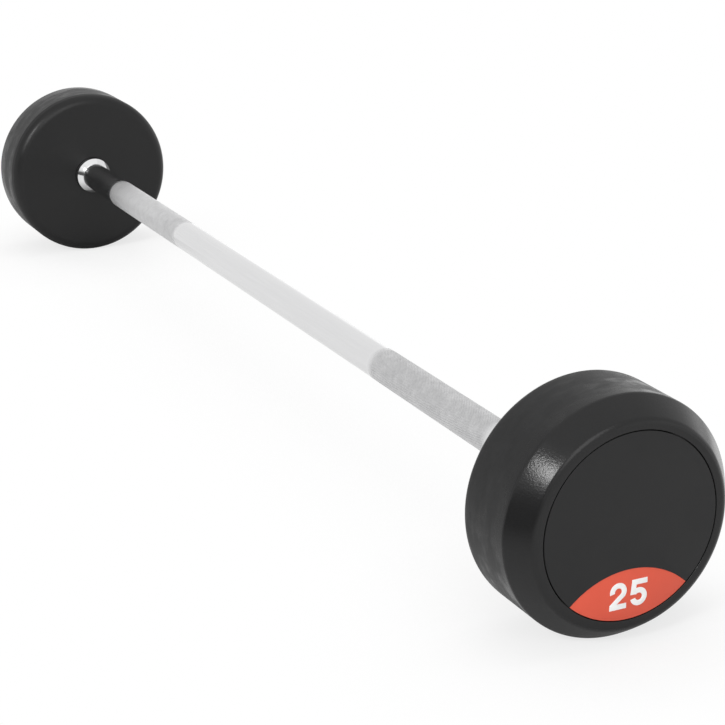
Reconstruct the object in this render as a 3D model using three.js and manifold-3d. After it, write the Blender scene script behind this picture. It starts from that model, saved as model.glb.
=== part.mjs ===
// A fixed barbell: a solid steel bar with a rubber-covered iron head bolted on each end.
// Millimetres. The bar lies along X, +Z is up, and the origin is the middle of the bar.

import * as THREE from "three";
import { mergeVertices } from "three/addons/utils/BufferGeometryUtils.js";
import Module from "manifold-3d";

const wasm = await Module();
wasm.setup();

// Fits, shared by all pieces
const clearance = 0.3; // between two pieces that touch or fit in each other
const cutOverrun = 2; // how far a cut runs past the face that it opens

// Facets round each kind of piece
const headSides = 64;
const barSides = 40;
const boltSides = 24;
const hexSides = 6;
const filletSteps = 2; // at least, on a small fillet
const filletStride = 2.5; // the longest straight step round a large fillet
const arcSteps = 12;

// Head, outside
const clearLength = 1002; // between the inner faces of the two heads
const headThickness = 75.4;
const headRadius = 87;
const outerBevelLength = 18.2;
const outerBevelDrop = 12.9;
const shoulderRounding = 10; // from the inner face round to the rim
const edgeRounding = 6; // where the bevel meets the outer face
const rimRounding = 4; // where the bevel meets the rim
const rubberWall = 5;
const coreChamfer = 5; // round the inner face of the iron

// End cap and what bonds it
const lipWidth = 6.8; // the flat rubber ring round the cap
const capThickness = 4;
const capGroove = 0.8; // the open groove round the cap
const capEdgeChamfer = 0.4;
const bondThickness = 1;
const capSeatWidth = 8; // the rubber flange under the rim of the cap

// Badge and its numerals
const badgeHeight = 36.2; // from the rim of the cap up to the top of the badge
const badgeArcRadius = 66.1;
const badgeThickness = 0.9;
const numeralThickness = 0.4;
const numeralHeight = 19.4;
const numeralWidth = 13.1;
const numeralGap = 3;
const strokeWidth = 3.9;

// Bar
const barRadius = 13.9;
const knurlRaise = 0.25;
const neckLength = 96.7; // smooth, from a head to its grip
const knurlLength = 186.8; // each knurled grip
const knurlChamfer = 0.5;
const shoulderHeight = 1.4; // from the bar's surface down to its spigot
const spigotChamfer = 1;
const spigotSetback = 1; // the spigot ends this far below the washer's seat

// Collar
const collarWall = 4.5;
const collarProud = 11.6; // how far it stands out of the head
const collarBand = 6.6; // its straight part outside the head, before the taper
const collarLip = 0.4; // wall left at its thin end

// Bolt, washers and pin
const tapWall = 1.4; // steel left between the pin's hole and the tapped hole
const boltLength = 36; // under the head
const boltHeadHeight = 10;
const boltHeadOverhang = 5.5; // out to the corners
const boltChamfer = 1;
const tapExtra = 6; // the tapped hole is this much deeper than the bolt
const plateWasherRadius = 25;
const plateWasherThickness = 5;
const lockWasherWidth = 4.8;
const lockWasherThickness = 4;
const lockWasherSplit = 2;
const counterboreSlack = 1; // round the plate washer
const pinRadius = 2.5;
const pinWall = 0.7;
const pinSlot = 1.1;
const pinSetback = 16; // from the core's inner face to the pin's inner end

// Places along X that several pieces share
const innerFaceX = clearLength / 2;
const outerFaceX = innerFaceX + headThickness;
const coreInnerX = innerFaceX + rubberWall;
const capBackX = outerFaceX - capThickness;
const bondFrontX = capBackX - clearance;
const coreOuterX = bondFrontX - bondThickness - clearance;
const boltStack = plateWasherThickness + lockWasherThickness + boltHeadHeight;
const counterboreFloorX = coreOuterX - boltStack - 4 * clearance;
const spigotEndX = counterboreFloorX - spigotSetback;
const washerX = counterboreFloorX + clearance;
const lockWasherX = washerX + plateWasherThickness + clearance;
const boltHeadX = lockWasherX + lockWasherThickness + clearance;
const pinStartX = coreInnerX + pinSetback;

// Radii that several pieces share
const recessRadius = headRadius - outerBevelDrop - lipWidth;
const capRadius = recessRadius - capGroove;
const flangeHoleRadius = capRadius - capSeatWidth;
const coreRadius = headRadius - rubberWall;
const spigotRadius = barRadius - shoulderHeight;
const coreBoreRadius = spigotRadius + clearance;
const gripRadius = barRadius + knurlRaise;
const collarBoreRadius = gripRadius + clearance;
const collarRadius = collarBoreRadius + collarWall;
const counterboreRadius = plateWasherRadius + counterboreSlack;
const pinHoleRadius = pinRadius + clearance;
const tapRadius = spigotRadius - pinHoleRadius - tapWall;
const boltRadius = tapRadius - clearance;
const boltHoleRadius = boltRadius + clearance;

// Materials
const finish = (color, roughness, metalness) =>
  new THREE.MeshStandardMaterial({ color, roughness, metalness });
const rubber = finish(0x2b2b2c, 0.8, 0);
const chrome = finish(0xd6d7d8, 0.18, 1);
const castIron = finish(0x4a4a4c, 0.7, 0.7);
const zincSteel = finish(0xa9adb0, 0.4, 0.9);
const capPlastic = finish(0x333334, 0.6, 0);
const badgeRed = finish(0xe0604a, 0.4, 0);
const numeralWhite = finish(0xf6f6f4, 0.45, 0);
const adhesive = finish(0x8d8a80, 0.7, 0);

// Joins coincident vertices and drops the empty triangles on a lathe's axis.
function welded(geometry) {
  const plain = new THREE.BufferGeometry();
  plain.setAttribute("position", geometry.getAttribute("position").clone());
  if (geometry.index) plain.setIndex(geometry.index.clone());
  const merged = mergeVertices(plain);
  const kept = [];
  const index = merged.index.array;
  for (let i = 0; i < index.length; i += 3) {
    const [a, b, c] = [index[i], index[i + 1], index[i + 2]];
    if (a !== b && b !== c && c !== a) kept.push(a, b, c);
  }
  merged.setIndex(kept);
  return merged;
}

function toSolid(geometry) {
  const closed = welded(geometry);
  const vertProperties = new Float32Array(closed.getAttribute("position").array);
  const triVerts = new Uint32Array(closed.index.array);
  return new wasm.Manifold(new wasm.Mesh({ numProp: 3, vertProperties, triVerts }));
}

function fromSolid(solid) {
  const mesh = solid.getMesh();
  const geometry = new THREE.BufferGeometry();
  geometry.setAttribute("position", new THREE.BufferAttribute(mesh.vertProperties, 3));
  geometry.setIndex(new THREE.BufferAttribute(mesh.triVerts, 1));
  return geometry;
}

function cut(geometry, ...tools) {
  let solid = toSolid(geometry);
  for (const tool of tools) solid = solid.subtract(toSolid(tool));
  return fromSolid(solid);
}

function joined(...geometries) {
  const [first, ...rest] = geometries.map(toSolid);
  return fromSolid(rest.reduce((sum, solid) => sum.add(solid), first));
}

// Rounds the corners of an outline. A corner is [x, r] or [x, r, radius].
function rounded(corners) {
  const points = [];
  corners.forEach(([x, r, radius], i) => {
    const corner = new THREE.Vector2(x, r);
    if (!radius) {
      points.push(corner);
      return;
    }
    const before = corners[(i + corners.length - 1) % corners.length];
    const after = corners[(i + 1) % corners.length];
    const back = new THREE.Vector2(before[0], before[1]).sub(corner);
    const ahead = new THREE.Vector2(after[0], after[1]).sub(corner);
    const halfAngle = Math.acos(back.dot(ahead) / (back.length() * ahead.length())) / 2;
    const room = Math.min(back.length(), ahead.length()) / 2;
    const reach = Math.min(radius / Math.tan(halfAngle), room);
    const start = corner.clone().addScaledVector(back.normalize(), reach);
    const end = corner.clone().addScaledVector(ahead.normalize(), reach);
    const fit = reach * Math.tan(halfAngle);
    const middle = start.clone().add(end).divideScalar(2);
    const inward = middle.clone().sub(corner).normalize();
    const centre = corner.clone().addScaledVector(inward, fit / Math.sin(halfAngle));
    const from = start.clone().sub(centre);
    const sweep = Math.atan2(from.cross(end.clone().sub(centre)), from.dot(end.clone().sub(centre)));
    const steps = Math.max(filletSteps, Math.ceil((Math.abs(sweep) * fit) / filletStride));
    for (let step = 0; step <= steps; step++) {
      const turned = from.clone().rotateAround(new THREE.Vector2(), (sweep * step) / steps);
      points.push(centre.clone().add(turned));
    }
  });
  return points;
}

// Turns an outline of [x, r] corners about the X axis, with a flat facet at the bottom.
// A ring's outline closes on itself, a solid's starts and ends on the axis.
function turned(corners, sides, isRing) {
  const points = rounded(corners).map((p) => new THREE.Vector2(p.y, p.x));
  if (isRing) points.push(points[0].clone());
  const geometry = new THREE.LatheGeometry(points, sides);
  geometry.rotateZ(-Math.PI / 2);
  geometry.rotateX(Math.PI / sides);
  return welded(geometry);
}

function rod(startX, endX, radius, sides) {
  return turned([[startX, 0], [startX, radius], [endX, radius], [endX, 0]], sides, false);
}

function tube(startX, endX, innerRadius, outerRadius, sides) {
  const corners = [
    [startX, innerRadius],
    [startX, outerRadius],
    [endX, outerRadius],
    [endX, innerRadius],
  ];
  return turned(corners, sides, true);
}

// Stands a flat shape, drawn as seen from outside the +X end, between two places along X.
function plate(shape, startX, endX) {
  const depth = endX - startX;
  const geometry = new THREE.ExtrudeGeometry(shape, {
    depth,
    bevelEnabled: false,
    curveSegments: arcSteps,
  });
  const toYZX = new THREE.Matrix4().makeBasis(
    new THREE.Vector3(0, 1, 0),
    new THREE.Vector3(0, 0, 1),
    new THREE.Vector3(1, 0, 0),
  );
  geometry.applyMatrix4(toYZX);
  geometry.translate(startX, 0, 0);
  return geometry;
}

// Bar

// The hole along the spigot's edge, half in the bar and half in the core.
function pinHole() {
  const startX = pinStartX - clearance;
  const hole = rod(startX, counterboreFloorX + cutOverrun, pinHoleRadius, boltSides);
  return hole.translate(0, 0, spigotRadius);
}

function barGeometry() {
  const knurlEnd = innerFaceX - neckLength;
  const knurlStart = knurlEnd - knurlLength;
  const shoulderX = coreInnerX - clearance;
  const tapEndX = boltHeadX - boltLength - tapExtra;
  const half = [
    [knurlStart, barRadius],
    [knurlStart + knurlChamfer, gripRadius],
    [knurlEnd - knurlChamfer, gripRadius],
    [knurlEnd, barRadius],
    [shoulderX, barRadius],
    [shoulderX, spigotRadius],
    [spigotEndX - spigotChamfer, spigotRadius],
    [spigotEndX, spigotRadius - spigotChamfer],
    [spigotEndX, tapRadius],
    [tapEndX, tapRadius],
    [tapEndX, 0],
  ];
  const otherHalf = half.map(([x, r]) => [-x, r]).reverse();
  const blank = turned([...otherHalf, ...half], barSides, false);
  const holeAtOtherEnd = pinHole().rotateZ(Math.PI);
  return cut(blank, pinHole(), holeAtOtherEnd);
}

// Head

const bevelTurn = Math.atan2(outerBevelDrop, outerBevelLength);

// Half section of the iron core, grown by a gap for the hollow that holds it.
function coreEnvelope(gap) {
  const radius = coreRadius + gap;
  const bevelStartX =
    outerFaceX - outerBevelLength - (rubberWall - gap) * Math.tan(bevelTurn / 2);
  const faceX = coreOuterX + gap;
  const faceRadius = radius - (faceX - bevelStartX) * Math.tan(bevelTurn);
  const startX = coreInnerX - gap;
  return {
    innerEdge: [startX, radius - coreChamfer],
    innerRim: [startX + coreChamfer, radius],
    outerRim: [bevelStartX, radius],
    outerEdge: [faceX, faceRadius],
  };
}

function rubberCoverGeometry() {
  const hollow = coreEnvelope(clearance);
  const boreRadius = collarRadius + clearance;
  const corners = [
    [innerFaceX, boreRadius],
    [innerFaceX, headRadius, shoulderRounding],
    [outerFaceX - outerBevelLength, headRadius, rimRounding],
    [outerFaceX, headRadius - outerBevelDrop, edgeRounding],
    [outerFaceX, recessRadius],
    [bondFrontX, recessRadius],
    [bondFrontX, flangeHoleRadius],
    [hollow.outerEdge[0], flangeHoleRadius],
    hollow.outerEdge,
    hollow.outerRim,
    hollow.innerRim,
    hollow.innerEdge,
    [hollow.innerEdge[0], boreRadius],
  ];
  return turned(corners, headSides, true);
}

function ironCoreGeometry() {
  const envelope = coreEnvelope(0);
  const corners = [
    [coreInnerX, coreBoreRadius],
    envelope.innerEdge,
    envelope.innerRim,
    envelope.outerRim,
    envelope.outerEdge,
    [coreOuterX, counterboreRadius],
    [counterboreFloorX, counterboreRadius],
    [counterboreFloorX, coreBoreRadius],
  ];
  return cut(turned(corners, headSides, true), pinHole());
}

function collarGeometry() {
  const seatX = coreInnerX - clearance;
  const tipX = innerFaceX - collarProud;
  const bandX = innerFaceX - collarBand;
  const corners = [
    [tipX, collarBoreRadius],
    [tipX, collarBoreRadius + collarLip],
    [bandX, collarRadius],
    [seatX, collarRadius],
    [seatX, collarBoreRadius],
  ];
  return turned(corners, barSides, true);
}

// End cap, badge and numerals

// The badge fills the lens between the rim of the cap and an arc across it. Its pocket is
// the same lens, grown past the rim and by the clearance at the arc.
function badgeShape(rimGrowth, arcGrowth) {
  const rimRadius = capRadius + rimGrowth;
  const arcRadius = badgeArcRadius + arcGrowth;
  const arcCentre = badgeHeight - capRadius - badgeArcRadius;
  const tipHeight = (arcCentre ** 2 + rimRadius ** 2 - arcRadius ** 2) / (2 * arcCentre);
  const tipSide = Math.sqrt(rimRadius ** 2 - tipHeight ** 2);
  const rimAngle = Math.atan2(tipHeight, tipSide);
  const arcAngle = Math.atan2(tipHeight - arcCentre, tipSide);
  const shape = new THREE.Shape();
  shape.absarc(0, 0, rimRadius, -Math.PI - rimAngle, rimAngle, false);
  shape.absarc(0, arcCentre, arcRadius, arcAngle, Math.PI - arcAngle, false);
  return shape;
}

const numeralFrontX = outerFaceX;
const numeralBackX = numeralFrontX - numeralThickness;
const badgeFrontX = numeralBackX - clearance;
const badgeBackX = badgeFrontX - badgeThickness;

function endCapGeometry() {
  const corners = [
    [capBackX, 0],
    [capBackX, capRadius - capEdgeChamfer],
    [capBackX + capEdgeChamfer, capRadius],
    [outerFaceX - capEdgeChamfer, capRadius],
    [outerFaceX, capRadius - capEdgeChamfer],
    [outerFaceX, 0],
  ];
  const lens = badgeShape(cutOverrun, clearance);
  const pocket = plate(lens, badgeBackX - clearance, outerFaceX + cutOverrun);
  return cut(turned(corners, headSides, false), pocket);
}

function badgeGeometry() {
  return plate(badgeShape(0, 0), badgeBackX, badgeFrontX);
}

// A band between two concentric arcs, from one angle round to a larger one.
function arcBand(centreY, centreZ, outerRadius, startAngle, endAngle) {
  const shape = new THREE.Shape();
  shape.absarc(centreY, centreZ, outerRadius, startAngle, endAngle, false);
  shape.absarc(centreY, centreZ, outerRadius - strokeWidth, endAngle, startAngle, true);
  return shape;
}

function polygon(corners) {
  return new THREE.Shape(corners.map(([y, z]) => new THREE.Vector2(y, z)));
}

function numeralFrom(shapes, side) {
  const plates = shapes.map((shape) => plate(shape, numeralBackX, numeralFrontX));
  const badgeMiddle = badgeHeight / 2 - capRadius;
  const leftEdge = side < 0 ? -numeralGap / 2 - numeralWidth : numeralGap / 2;
  return joined(...plates).translate(0, leftEdge, badgeMiddle - numeralHeight / 2);
}

// Both numerals are drawn from their lower left corner.
const hookOvershoot = Math.PI * 0.08; // how far a hook goes past level

function numeralTwoGeometry() {
  const bowl = numeralWidth / 2;
  const bowlZ = numeralHeight - bowl;
  const leaveAngle = -Math.PI / 5;
  const footJoinShare = 1.4;
  const outerY = bowl + bowl * Math.cos(leaveAngle);
  const outerZ = bowlZ + bowl * Math.sin(leaveAngle);
  const innerY = bowl + (bowl - strokeWidth) * Math.cos(leaveAngle);
  const innerZ = bowlZ + (bowl - strokeWidth) * Math.sin(leaveAngle);
  const foot = polygon([[0, 0], [numeralWidth, 0], [numeralWidth, strokeWidth], [0, strokeWidth]]);
  const diagonal = polygon([
    [0, strokeWidth / 2],
    [strokeWidth, strokeWidth / 2],
    [strokeWidth * footJoinShare, strokeWidth],
    [outerY, outerZ],
    [innerY, innerZ],
    [0, strokeWidth],
  ]);
  const hook = arcBand(bowl, bowlZ, bowl, leaveAngle, Math.PI + hookOvershoot);
  return numeralFrom([foot, diagonal, hook], -1);
}

function numeralFiveGeometry() {
  const bowl = numeralWidth / 2;
  const topZ = numeralHeight - strokeWidth;
  const stemLeanShare = 0.25;
  const stemLeft = strokeWidth * stemLeanShare;
  const startAngle = Math.PI * 0.8;
  const bar = polygon([
    [stemLeft, topZ],
    [numeralWidth, topZ],
    [numeralWidth, numeralHeight],
    [stemLeft, numeralHeight],
  ]);
  const stem = polygon([
    [stemLeft, topZ + strokeWidth / 2],
    [0, bowl + strokeWidth / 2],
    [strokeWidth, bowl + strokeWidth / 2],
    [stemLeft + strokeWidth, topZ + strokeWidth / 2],
  ]);
  const endAngle = startAngle + 2 * Math.PI;
  const hook = arcBand(bowl, bowl, bowl, Math.PI + hookOvershoot, endAngle);
  return numeralFrom([bar, stem, hook], 1);
}

function capBondGeometry() {
  const outerRadius = flangeHoleRadius - clearance;
  const innerRadius = (counterboreRadius + outerRadius) / 2;
  return tube(bondFrontX - bondThickness, bondFrontX, innerRadius, outerRadius, headSides);
}

// Bolt, washers and pin

// A box that slits a ring from its axis up through its wall.
function slotTool(startX, endX, width, radius) {
  const height = radius + cutOverrun;
  const box = new THREE.BoxGeometry(endX - startX + 2 * cutOverrun, width, height);
  return box.translate((startX + endX) / 2, 0, height / 2);
}

function headBoltGeometry() {
  const shankEndX = boltHeadX - boltLength;
  const shank = turned(
    [
      [shankEndX, 0],
      [shankEndX, boltRadius - boltChamfer],
      [shankEndX + boltChamfer, boltRadius],
      [boltHeadX + boltChamfer, boltRadius],
      [boltHeadX + boltChamfer, 0],
    ],
    boltSides,
    false,
  );
  const cornerRadius = boltRadius + boltHeadOverhang;
  const head = rod(boltHeadX, boltHeadX + boltHeadHeight, cornerRadius, hexSides);
  return joined(shank, head);
}

function plateWasherGeometry() {
  const endX = washerX + plateWasherThickness;
  return tube(washerX, endX, boltHoleRadius, plateWasherRadius, barSides);
}

function lockWasherGeometry() {
  const endX = lockWasherX + lockWasherThickness;
  const outerRadius = boltHoleRadius + lockWasherWidth;
  const ring = tube(lockWasherX, endX, boltHoleRadius, outerRadius, boltSides);
  return cut(ring, slotTool(lockWasherX, endX, lockWasherSplit, outerRadius));
}

function rollPinGeometry() {
  const innerRadius = pinRadius - pinWall;
  const wall = tube(pinStartX, counterboreFloorX, innerRadius, pinRadius, boltSides);
  const slot = slotTool(pinStartX, counterboreFloorX, pinSlot, pinRadius);
  return cut(wall, slot).translate(0, 0, spigotRadius);
}

// Assembly

function named(name, geometry, material) {
  const mesh = new THREE.Mesh(geometry, material);
  mesh.name = name;
  return mesh;
}

const headPieces = [
  ["rubber_cover", rubberCoverGeometry, rubber],
  ["iron_core", ironCoreGeometry, castIron],
  ["collar", collarGeometry, chrome],
  ["end_cap", endCapGeometry, capPlastic],
  ["cap_bond", capBondGeometry, adhesive],
  ["badge", badgeGeometry, badgeRed],
  ["numeral_two", numeralTwoGeometry, numeralWhite],
  ["numeral_five", numeralFiveGeometry, numeralWhite],
  ["head_bolt", headBoltGeometry, zincSteel],
  ["plate_washer", plateWasherGeometry, zincSteel],
  ["lock_washer", lockWasherGeometry, zincSteel],
  ["roll_pin", rollPinGeometry, zincSteel],
];

// One head, drawn at the +X end. The other is the same head turned about the vertical.
function head(side, turn) {
  const group = new THREE.Group();
  for (const [name, geometry, material] of headPieces) {
    group.add(named(`${side}_${name}`, geometry(), material));
  }
  group.rotation.z = turn;
  return group;
}

const barbell = new THREE.Group();
barbell.add(named("bar", barGeometry(), chrome));
barbell.add(head("right", 0));
barbell.add(head("left", Math.PI));

export default barbell;
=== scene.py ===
"""A fixed barbell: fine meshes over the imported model, their finishes, a white studio, a camera.

Metres. The bar lies along X, +Z is up, and the origin is the middle of the bar. Each head piece
is drawn at the +X end, and the left head is the same head turned half round the vertical.
"""

import math

import bmesh
import bpy
from mathutils import Matrix, Vector, noise

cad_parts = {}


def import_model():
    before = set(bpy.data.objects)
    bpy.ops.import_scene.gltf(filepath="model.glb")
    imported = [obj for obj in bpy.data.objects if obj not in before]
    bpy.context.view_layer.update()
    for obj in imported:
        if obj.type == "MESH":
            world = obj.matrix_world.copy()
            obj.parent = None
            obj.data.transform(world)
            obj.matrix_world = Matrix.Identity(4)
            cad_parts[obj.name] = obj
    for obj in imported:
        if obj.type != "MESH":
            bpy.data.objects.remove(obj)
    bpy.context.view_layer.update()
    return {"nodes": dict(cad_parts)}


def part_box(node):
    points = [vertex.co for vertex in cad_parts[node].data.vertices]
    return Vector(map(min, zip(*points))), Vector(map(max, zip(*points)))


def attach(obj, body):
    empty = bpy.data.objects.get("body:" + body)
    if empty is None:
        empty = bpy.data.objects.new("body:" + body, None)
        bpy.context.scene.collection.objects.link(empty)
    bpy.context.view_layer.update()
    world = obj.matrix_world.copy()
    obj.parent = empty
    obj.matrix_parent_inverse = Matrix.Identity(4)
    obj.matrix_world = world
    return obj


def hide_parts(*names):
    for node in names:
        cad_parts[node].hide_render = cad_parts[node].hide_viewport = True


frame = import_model()

MM = 0.001

# Places along X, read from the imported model
OUTER_FACE_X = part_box("right_end_cap")[1].x
CAP_BACK_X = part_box("right_end_cap")[0].x
INNER_FACE_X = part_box("right_rubber_cover")[0].x
CORE_INNER_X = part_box("right_iron_core")[0].x
CORE_OUTER_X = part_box("right_iron_core")[1].x
BOND_FRONT_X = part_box("right_cap_bond")[1].x
SPIGOT_END_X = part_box("bar")[1].x
BADGE_BACK_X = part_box("right_badge")[0].x
BOLT_TIP_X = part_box("right_head_bolt")[0].x
PIN_INNER_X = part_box("right_roll_pin")[0].x

# Head
HEAD_SIDES = 256
HEAD_RADIUS = 87 * MM
OUTER_BEVEL_LENGTH = 18.2 * MM
OUTER_BEVEL_DROP = 12.9 * MM
BEVEL_CROWN = 0.25 * MM  # how far the middle of the bevel stands out of a straight line
CROWN_SHARES = (0.15, 0.26, 0.37, 0.48, 0.59, 0.7)  # where along the bevel the crown has points
RIM_ROUNDING = 4 * MM
RIM_STEPS = 10
EDGE_ROUNDING = 6 * MM
EDGE_STEPS = 16
SHOULDER_ROUNDING = 10 * MM
SHOULDER_STEPS = 24
DULL_START = 3 * MM  # behind the inner face, where the shoulder starts to get dull
SCUFF_START = {"right": 9 * MM, "left": 16 * MM}  # behind the inner face
SIDE_TILT = 0.2  # the most that a normal on the round side leans along X
INNER_PLACE, ROLLED_PLACE = 1, 2  # of these two finishes among a cover's materials
LIP_WIDTH = 6.8 * MM
LIP_ROUNDING = 0.4 * MM
GROOVE_WIDTH = 0.8 * MM
FLANGE_WIDTH = 8 * MM
RUBBER_WALL = 5 * MM
CORE_GAP = 0.3 * MM
CORE_CHAMFER = 5 * MM
RING_SPACING = 3 * MM
MOULD_WAVE_HEIGHT = 0.05 * MM
MOULD_WAVE_LENGTH = 22 * MM
FINE_WAVE_SHARE = 0.5  # height of the finer waves on those of the mould
FINE_WAVE_RATIO = 2.3  # how much shorter they are

# End cap, badge and numerals
CAP_ROUNDING = 0.35 * MM
BADGE_HEIGHT = 36.2 * MM
BADGE_ARC_RADIUS = 66.1 * MM
BADGE_ARC_STEPS = 96
BADGE_SETBACK = 0.25 * MM
BADGE_GAP = 0.1 * MM
NUMERAL_HEIGHT = 19.4 * MM
NUMERAL_WIDTH = 13.1 * MM
NUMERAL_GAP = 3 * MM
NUMERAL_ARC_STEPS = 28
STROKE_WIDTH = 3.9 * MM
HOOK_TURN = math.pi * 1.08  # where each numeral's hook ends, a little past level
PLATE_BEVEL = 0.08 * MM
PLATE_BEVEL_STEPS = 2

# Bar and collar
BAR_RADIUS = 13.9 * MM
BAR_COLUMNS = 128
NECK_LENGTH = 96.7 * MM
KNURL_LENGTH = 186.8 * MM
KNURL_ROWS = 152
KNURL_PEAK = 14.15 * MM
KNURL_GROOVE = 13.72 * MM
KNURL_EDGE = 0.4 * MM
KNURL_RUN_OUT = 12 * MM  # over which the grooves get shallow, half past each end
KNURLED_PLACE = 1  # of the knurled finish among the bar's materials
SPIGOT_RADIUS = 12.5 * MM
SPIGOT_CHAMFER = 1 * MM
TAP_RADIUS = 8.3 * MM
TAP_EXTRA = 6 * MM
PIN_HOLE_RADIUS = 2.7 * MM
PIN_HOLE_SIDES = 32
COLLAR_SIDES = 128
COLLAR_RADIUS = 18.95 * MM
COLLAR_BORE = 13.96 * MM
COLLAR_PROUD = 11.6 * MM
COLLAR_BAND = 6.6 * MM
COLLAR_LIP = 0.2 * MM
COLLAR_ROUNDING = 0.3 * MM

# Mesh making
ARC_STEPS = 6
CUT_OVERRUN = 1 * MM
WELD_DISTANCE = 0.001 * MM
SMOOTH_ANGLE = math.radians(32)

HEAD_CENTRE_X = (INNER_FACE_X + OUTER_FACE_X) / 2
UNTURNED = Matrix.Identity(4)
HALF_TURN = Matrix.Rotation(math.pi, 4, "Z")
SIDES = (("right", UNTURNED), ("left", HALF_TURN))


# Node helpers

# Sockets of the Mix node for each kind of data: the first and second value, and the result
MIX_SOCKETS = {"RGBA": (6, 7, 2), "FLOAT": (2, 3, 0)}


def node(tree, kind, **settings):
    """A new node with the given settings."""
    made = tree.nodes.new(kind)
    for name, value in settings.items():
        setattr(made, name, value)
    return made


def feed(tree, socket, value):
    """Gives a socket a number or a colour, or links another socket to it."""
    if isinstance(value, bpy.types.NodeSocket):
        tree.links.new(value, socket)
    elif isinstance(value, tuple):
        socket.default_value = (*value, 1)
    else:
        socket.default_value = value


def math_node(tree, operation, *values):
    """A math node. Each value is a number or a socket."""
    made = node(tree, "ShaderNodeMath", operation=operation)
    for socket, value in zip(made.inputs, values):
        feed(tree, socket, value)
    return made.outputs[0]


def ramp(tree, value, source, target):
    """Maps a value from one range to another, clamped and eased."""
    made = node(tree, "ShaderNodeMapRange", interpolation_type="SMOOTHSTEP")
    tree.links.new(value, made.inputs["Value"])
    names = ("From Min", "From Max", "To Min", "To Max")
    for name, limit in zip(names, (*source, *target)):
        made.inputs[name].default_value = limit
    return made.outputs["Result"]


def mixed(tree, share, first, second, kind="RGBA"):
    """Something between two colours, or between two numbers where the kind is FLOAT."""
    made = node(tree, "ShaderNodeMix", data_type=kind)
    first_place, second_place, result_place = MIX_SOCKETS[kind]
    tree.links.new(share, made.inputs[0])
    feed(tree, made.inputs[first_place], first)
    feed(tree, made.inputs[second_place], second)
    return made.outputs[result_place]


def split(tree, vector):
    """The X, Y and Z of a vector."""
    parts = node(tree, "ShaderNodeSeparateXYZ")
    tree.links.new(vector, parts.inputs[0])
    return tuple(parts.outputs)


def object_coords(tree, stretch=(1, 1, 1)):
    """Places on the object, in metres, squeezed along each axis by the stretch."""
    coords = node(tree, "ShaderNodeTexCoord")
    mapping = node(tree, "ShaderNodeMapping")
    mapping.inputs["Scale"].default_value = stretch
    tree.links.new(coords.outputs["Object"], mapping.inputs["Vector"])
    return mapping.outputs["Vector"]


def distance_along(tree, coords):
    """How far a place is from the middle of the barbell, along the bar."""
    return math_node(tree, "ABSOLUTE", split(tree, coords)[0])


def noise_at(tree, coords, size, detail=3, roughness=0.5):
    """Noise whose lumps are about the given size."""
    made = node(tree, "ShaderNodeTexNoise")
    tree.links.new(coords, made.inputs["Vector"])
    made.inputs["Scale"].default_value = 1 / size
    made.inputs["Detail"].default_value = detail
    made.inputs["Roughness"].default_value = roughness
    return made.outputs["Fac"]


def bump(tree, height, depth):
    """A normal for a surface that is raised by the height, from 0 to 1, times the depth."""
    made = node(tree, "ShaderNodeBump")
    made.inputs["Strength"].default_value = 1.0
    made.inputs["Distance"].default_value = depth
    tree.links.new(height, made.inputs["Height"])
    return made.outputs["Normal"]


def new_material(name, metallic=0.0, specular=0.5):
    """A material, its node tree and its shader."""
    material = bpy.data.materials.new(name)
    material.use_nodes = True
    tree = material.node_tree
    shader = tree.nodes["Principled BSDF"]
    shader.inputs["Metallic"].default_value = metallic
    shader.inputs["Specular IOR Level"].default_value = specular
    return material, tree, shader


# Materials

# Tones go from dark to light. A range that starts with its larger number falls.
NOISE_BODY = (0.35, 0.65)  # where most values of a noise lie
CLOUD_BODY = (0.38, 0.66)  # the same for the more detailed clouds of the rubber

RUBBER_TONES = ((0.0132, 0.0132, 0.0135), (0.0155, 0.0155, 0.0158))
RUBBER_GLOSS = 0.25
RUBBER_ROUGHNESS = (0.19, 0.225)

INNER_TONES = ((0.0112, 0.0112, 0.0114), (0.0136, 0.0136, 0.0138))
INNER_GLOSS = (RUBBER_GLOSS, 0.06)  # from the face to the shoulder
INNER_ROUGHNESS = (0.33, 0.46)  # from the face to the shoulder
INNER_UNEVENNESS = (0, 0.04)

ROLLED_TONES = ((0.0105, 0.0105, 0.0108), (0.0165, 0.0165, 0.0168))
ROLLED_GLOSS = 0.19
ROLLED_ROUGHNESS = (0.18, 0.46)
ROLLED_CLOUD_SHARE = 0.6
ROLLED_POLISH = (0, 0.3)  # from the middle of the side to the bevel
SCUFF_RANGE = (0.42, 0.7)
DULLNESS_RANGE = (0.4, 0.9)

CAP_TONES = ((0.0145, 0.0145, 0.0148), (0.0165, 0.0165, 0.0168))
CAP_ROUGHNESS = (0.5, 0.58)

CHROME_TONES = ((0.68, 0.68, 0.685), (0.75, 0.75, 0.755))
CHROME_ROUGHNESS = (0.09, 0.19)
HAZE_RANGE = (0.35, 0.68)
RUN_OUT_TONE = (0.735, 0.735, 0.74)
RUN_OUT_ROUGHNESS = 0.14

# Each pair of grip tones goes from the bottom of a groove to a peak: the darker grooves are
# painted shade.
SOILED_AND_GROOVE_SHADE_TONES = ((0.46, 0.46, 0.465), (0.6, 0.6, 0.605))
CLEAN_AND_GROOVE_SHADE_TONES = ((0.66, 0.66, 0.665), (0.82, 0.82, 0.825))
GRIP_ROUGHNESS = (0.4, 0.34)  # from soiled to clean
PATCH_STRENGTH = 0.22
GRIP_DARKENING_X = (-0.4, -0.1)  # over which the left grip turns as dark as the right one
GRIP_DARKENING = (0, 0.1)  # what it takes off the cleanness
CLEANNESS_RANGE = (-0.06, 0.14)

COLLAR_TONES = ((0.7, 0.7, 0.705), (0.76, 0.76, 0.765))
COLLAR_ROUGHNESS = (0.06, 0.14)
TURNING_LINE_RANGE = (0.3, 0.7)

BADGE_TONES = ((0.7, 0.094, 0.052), (0.735, 0.108, 0.062))
BADGE_GLOSS = 0.3
BADGE_ROUGHNESS = (0.42, 0.5)

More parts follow.
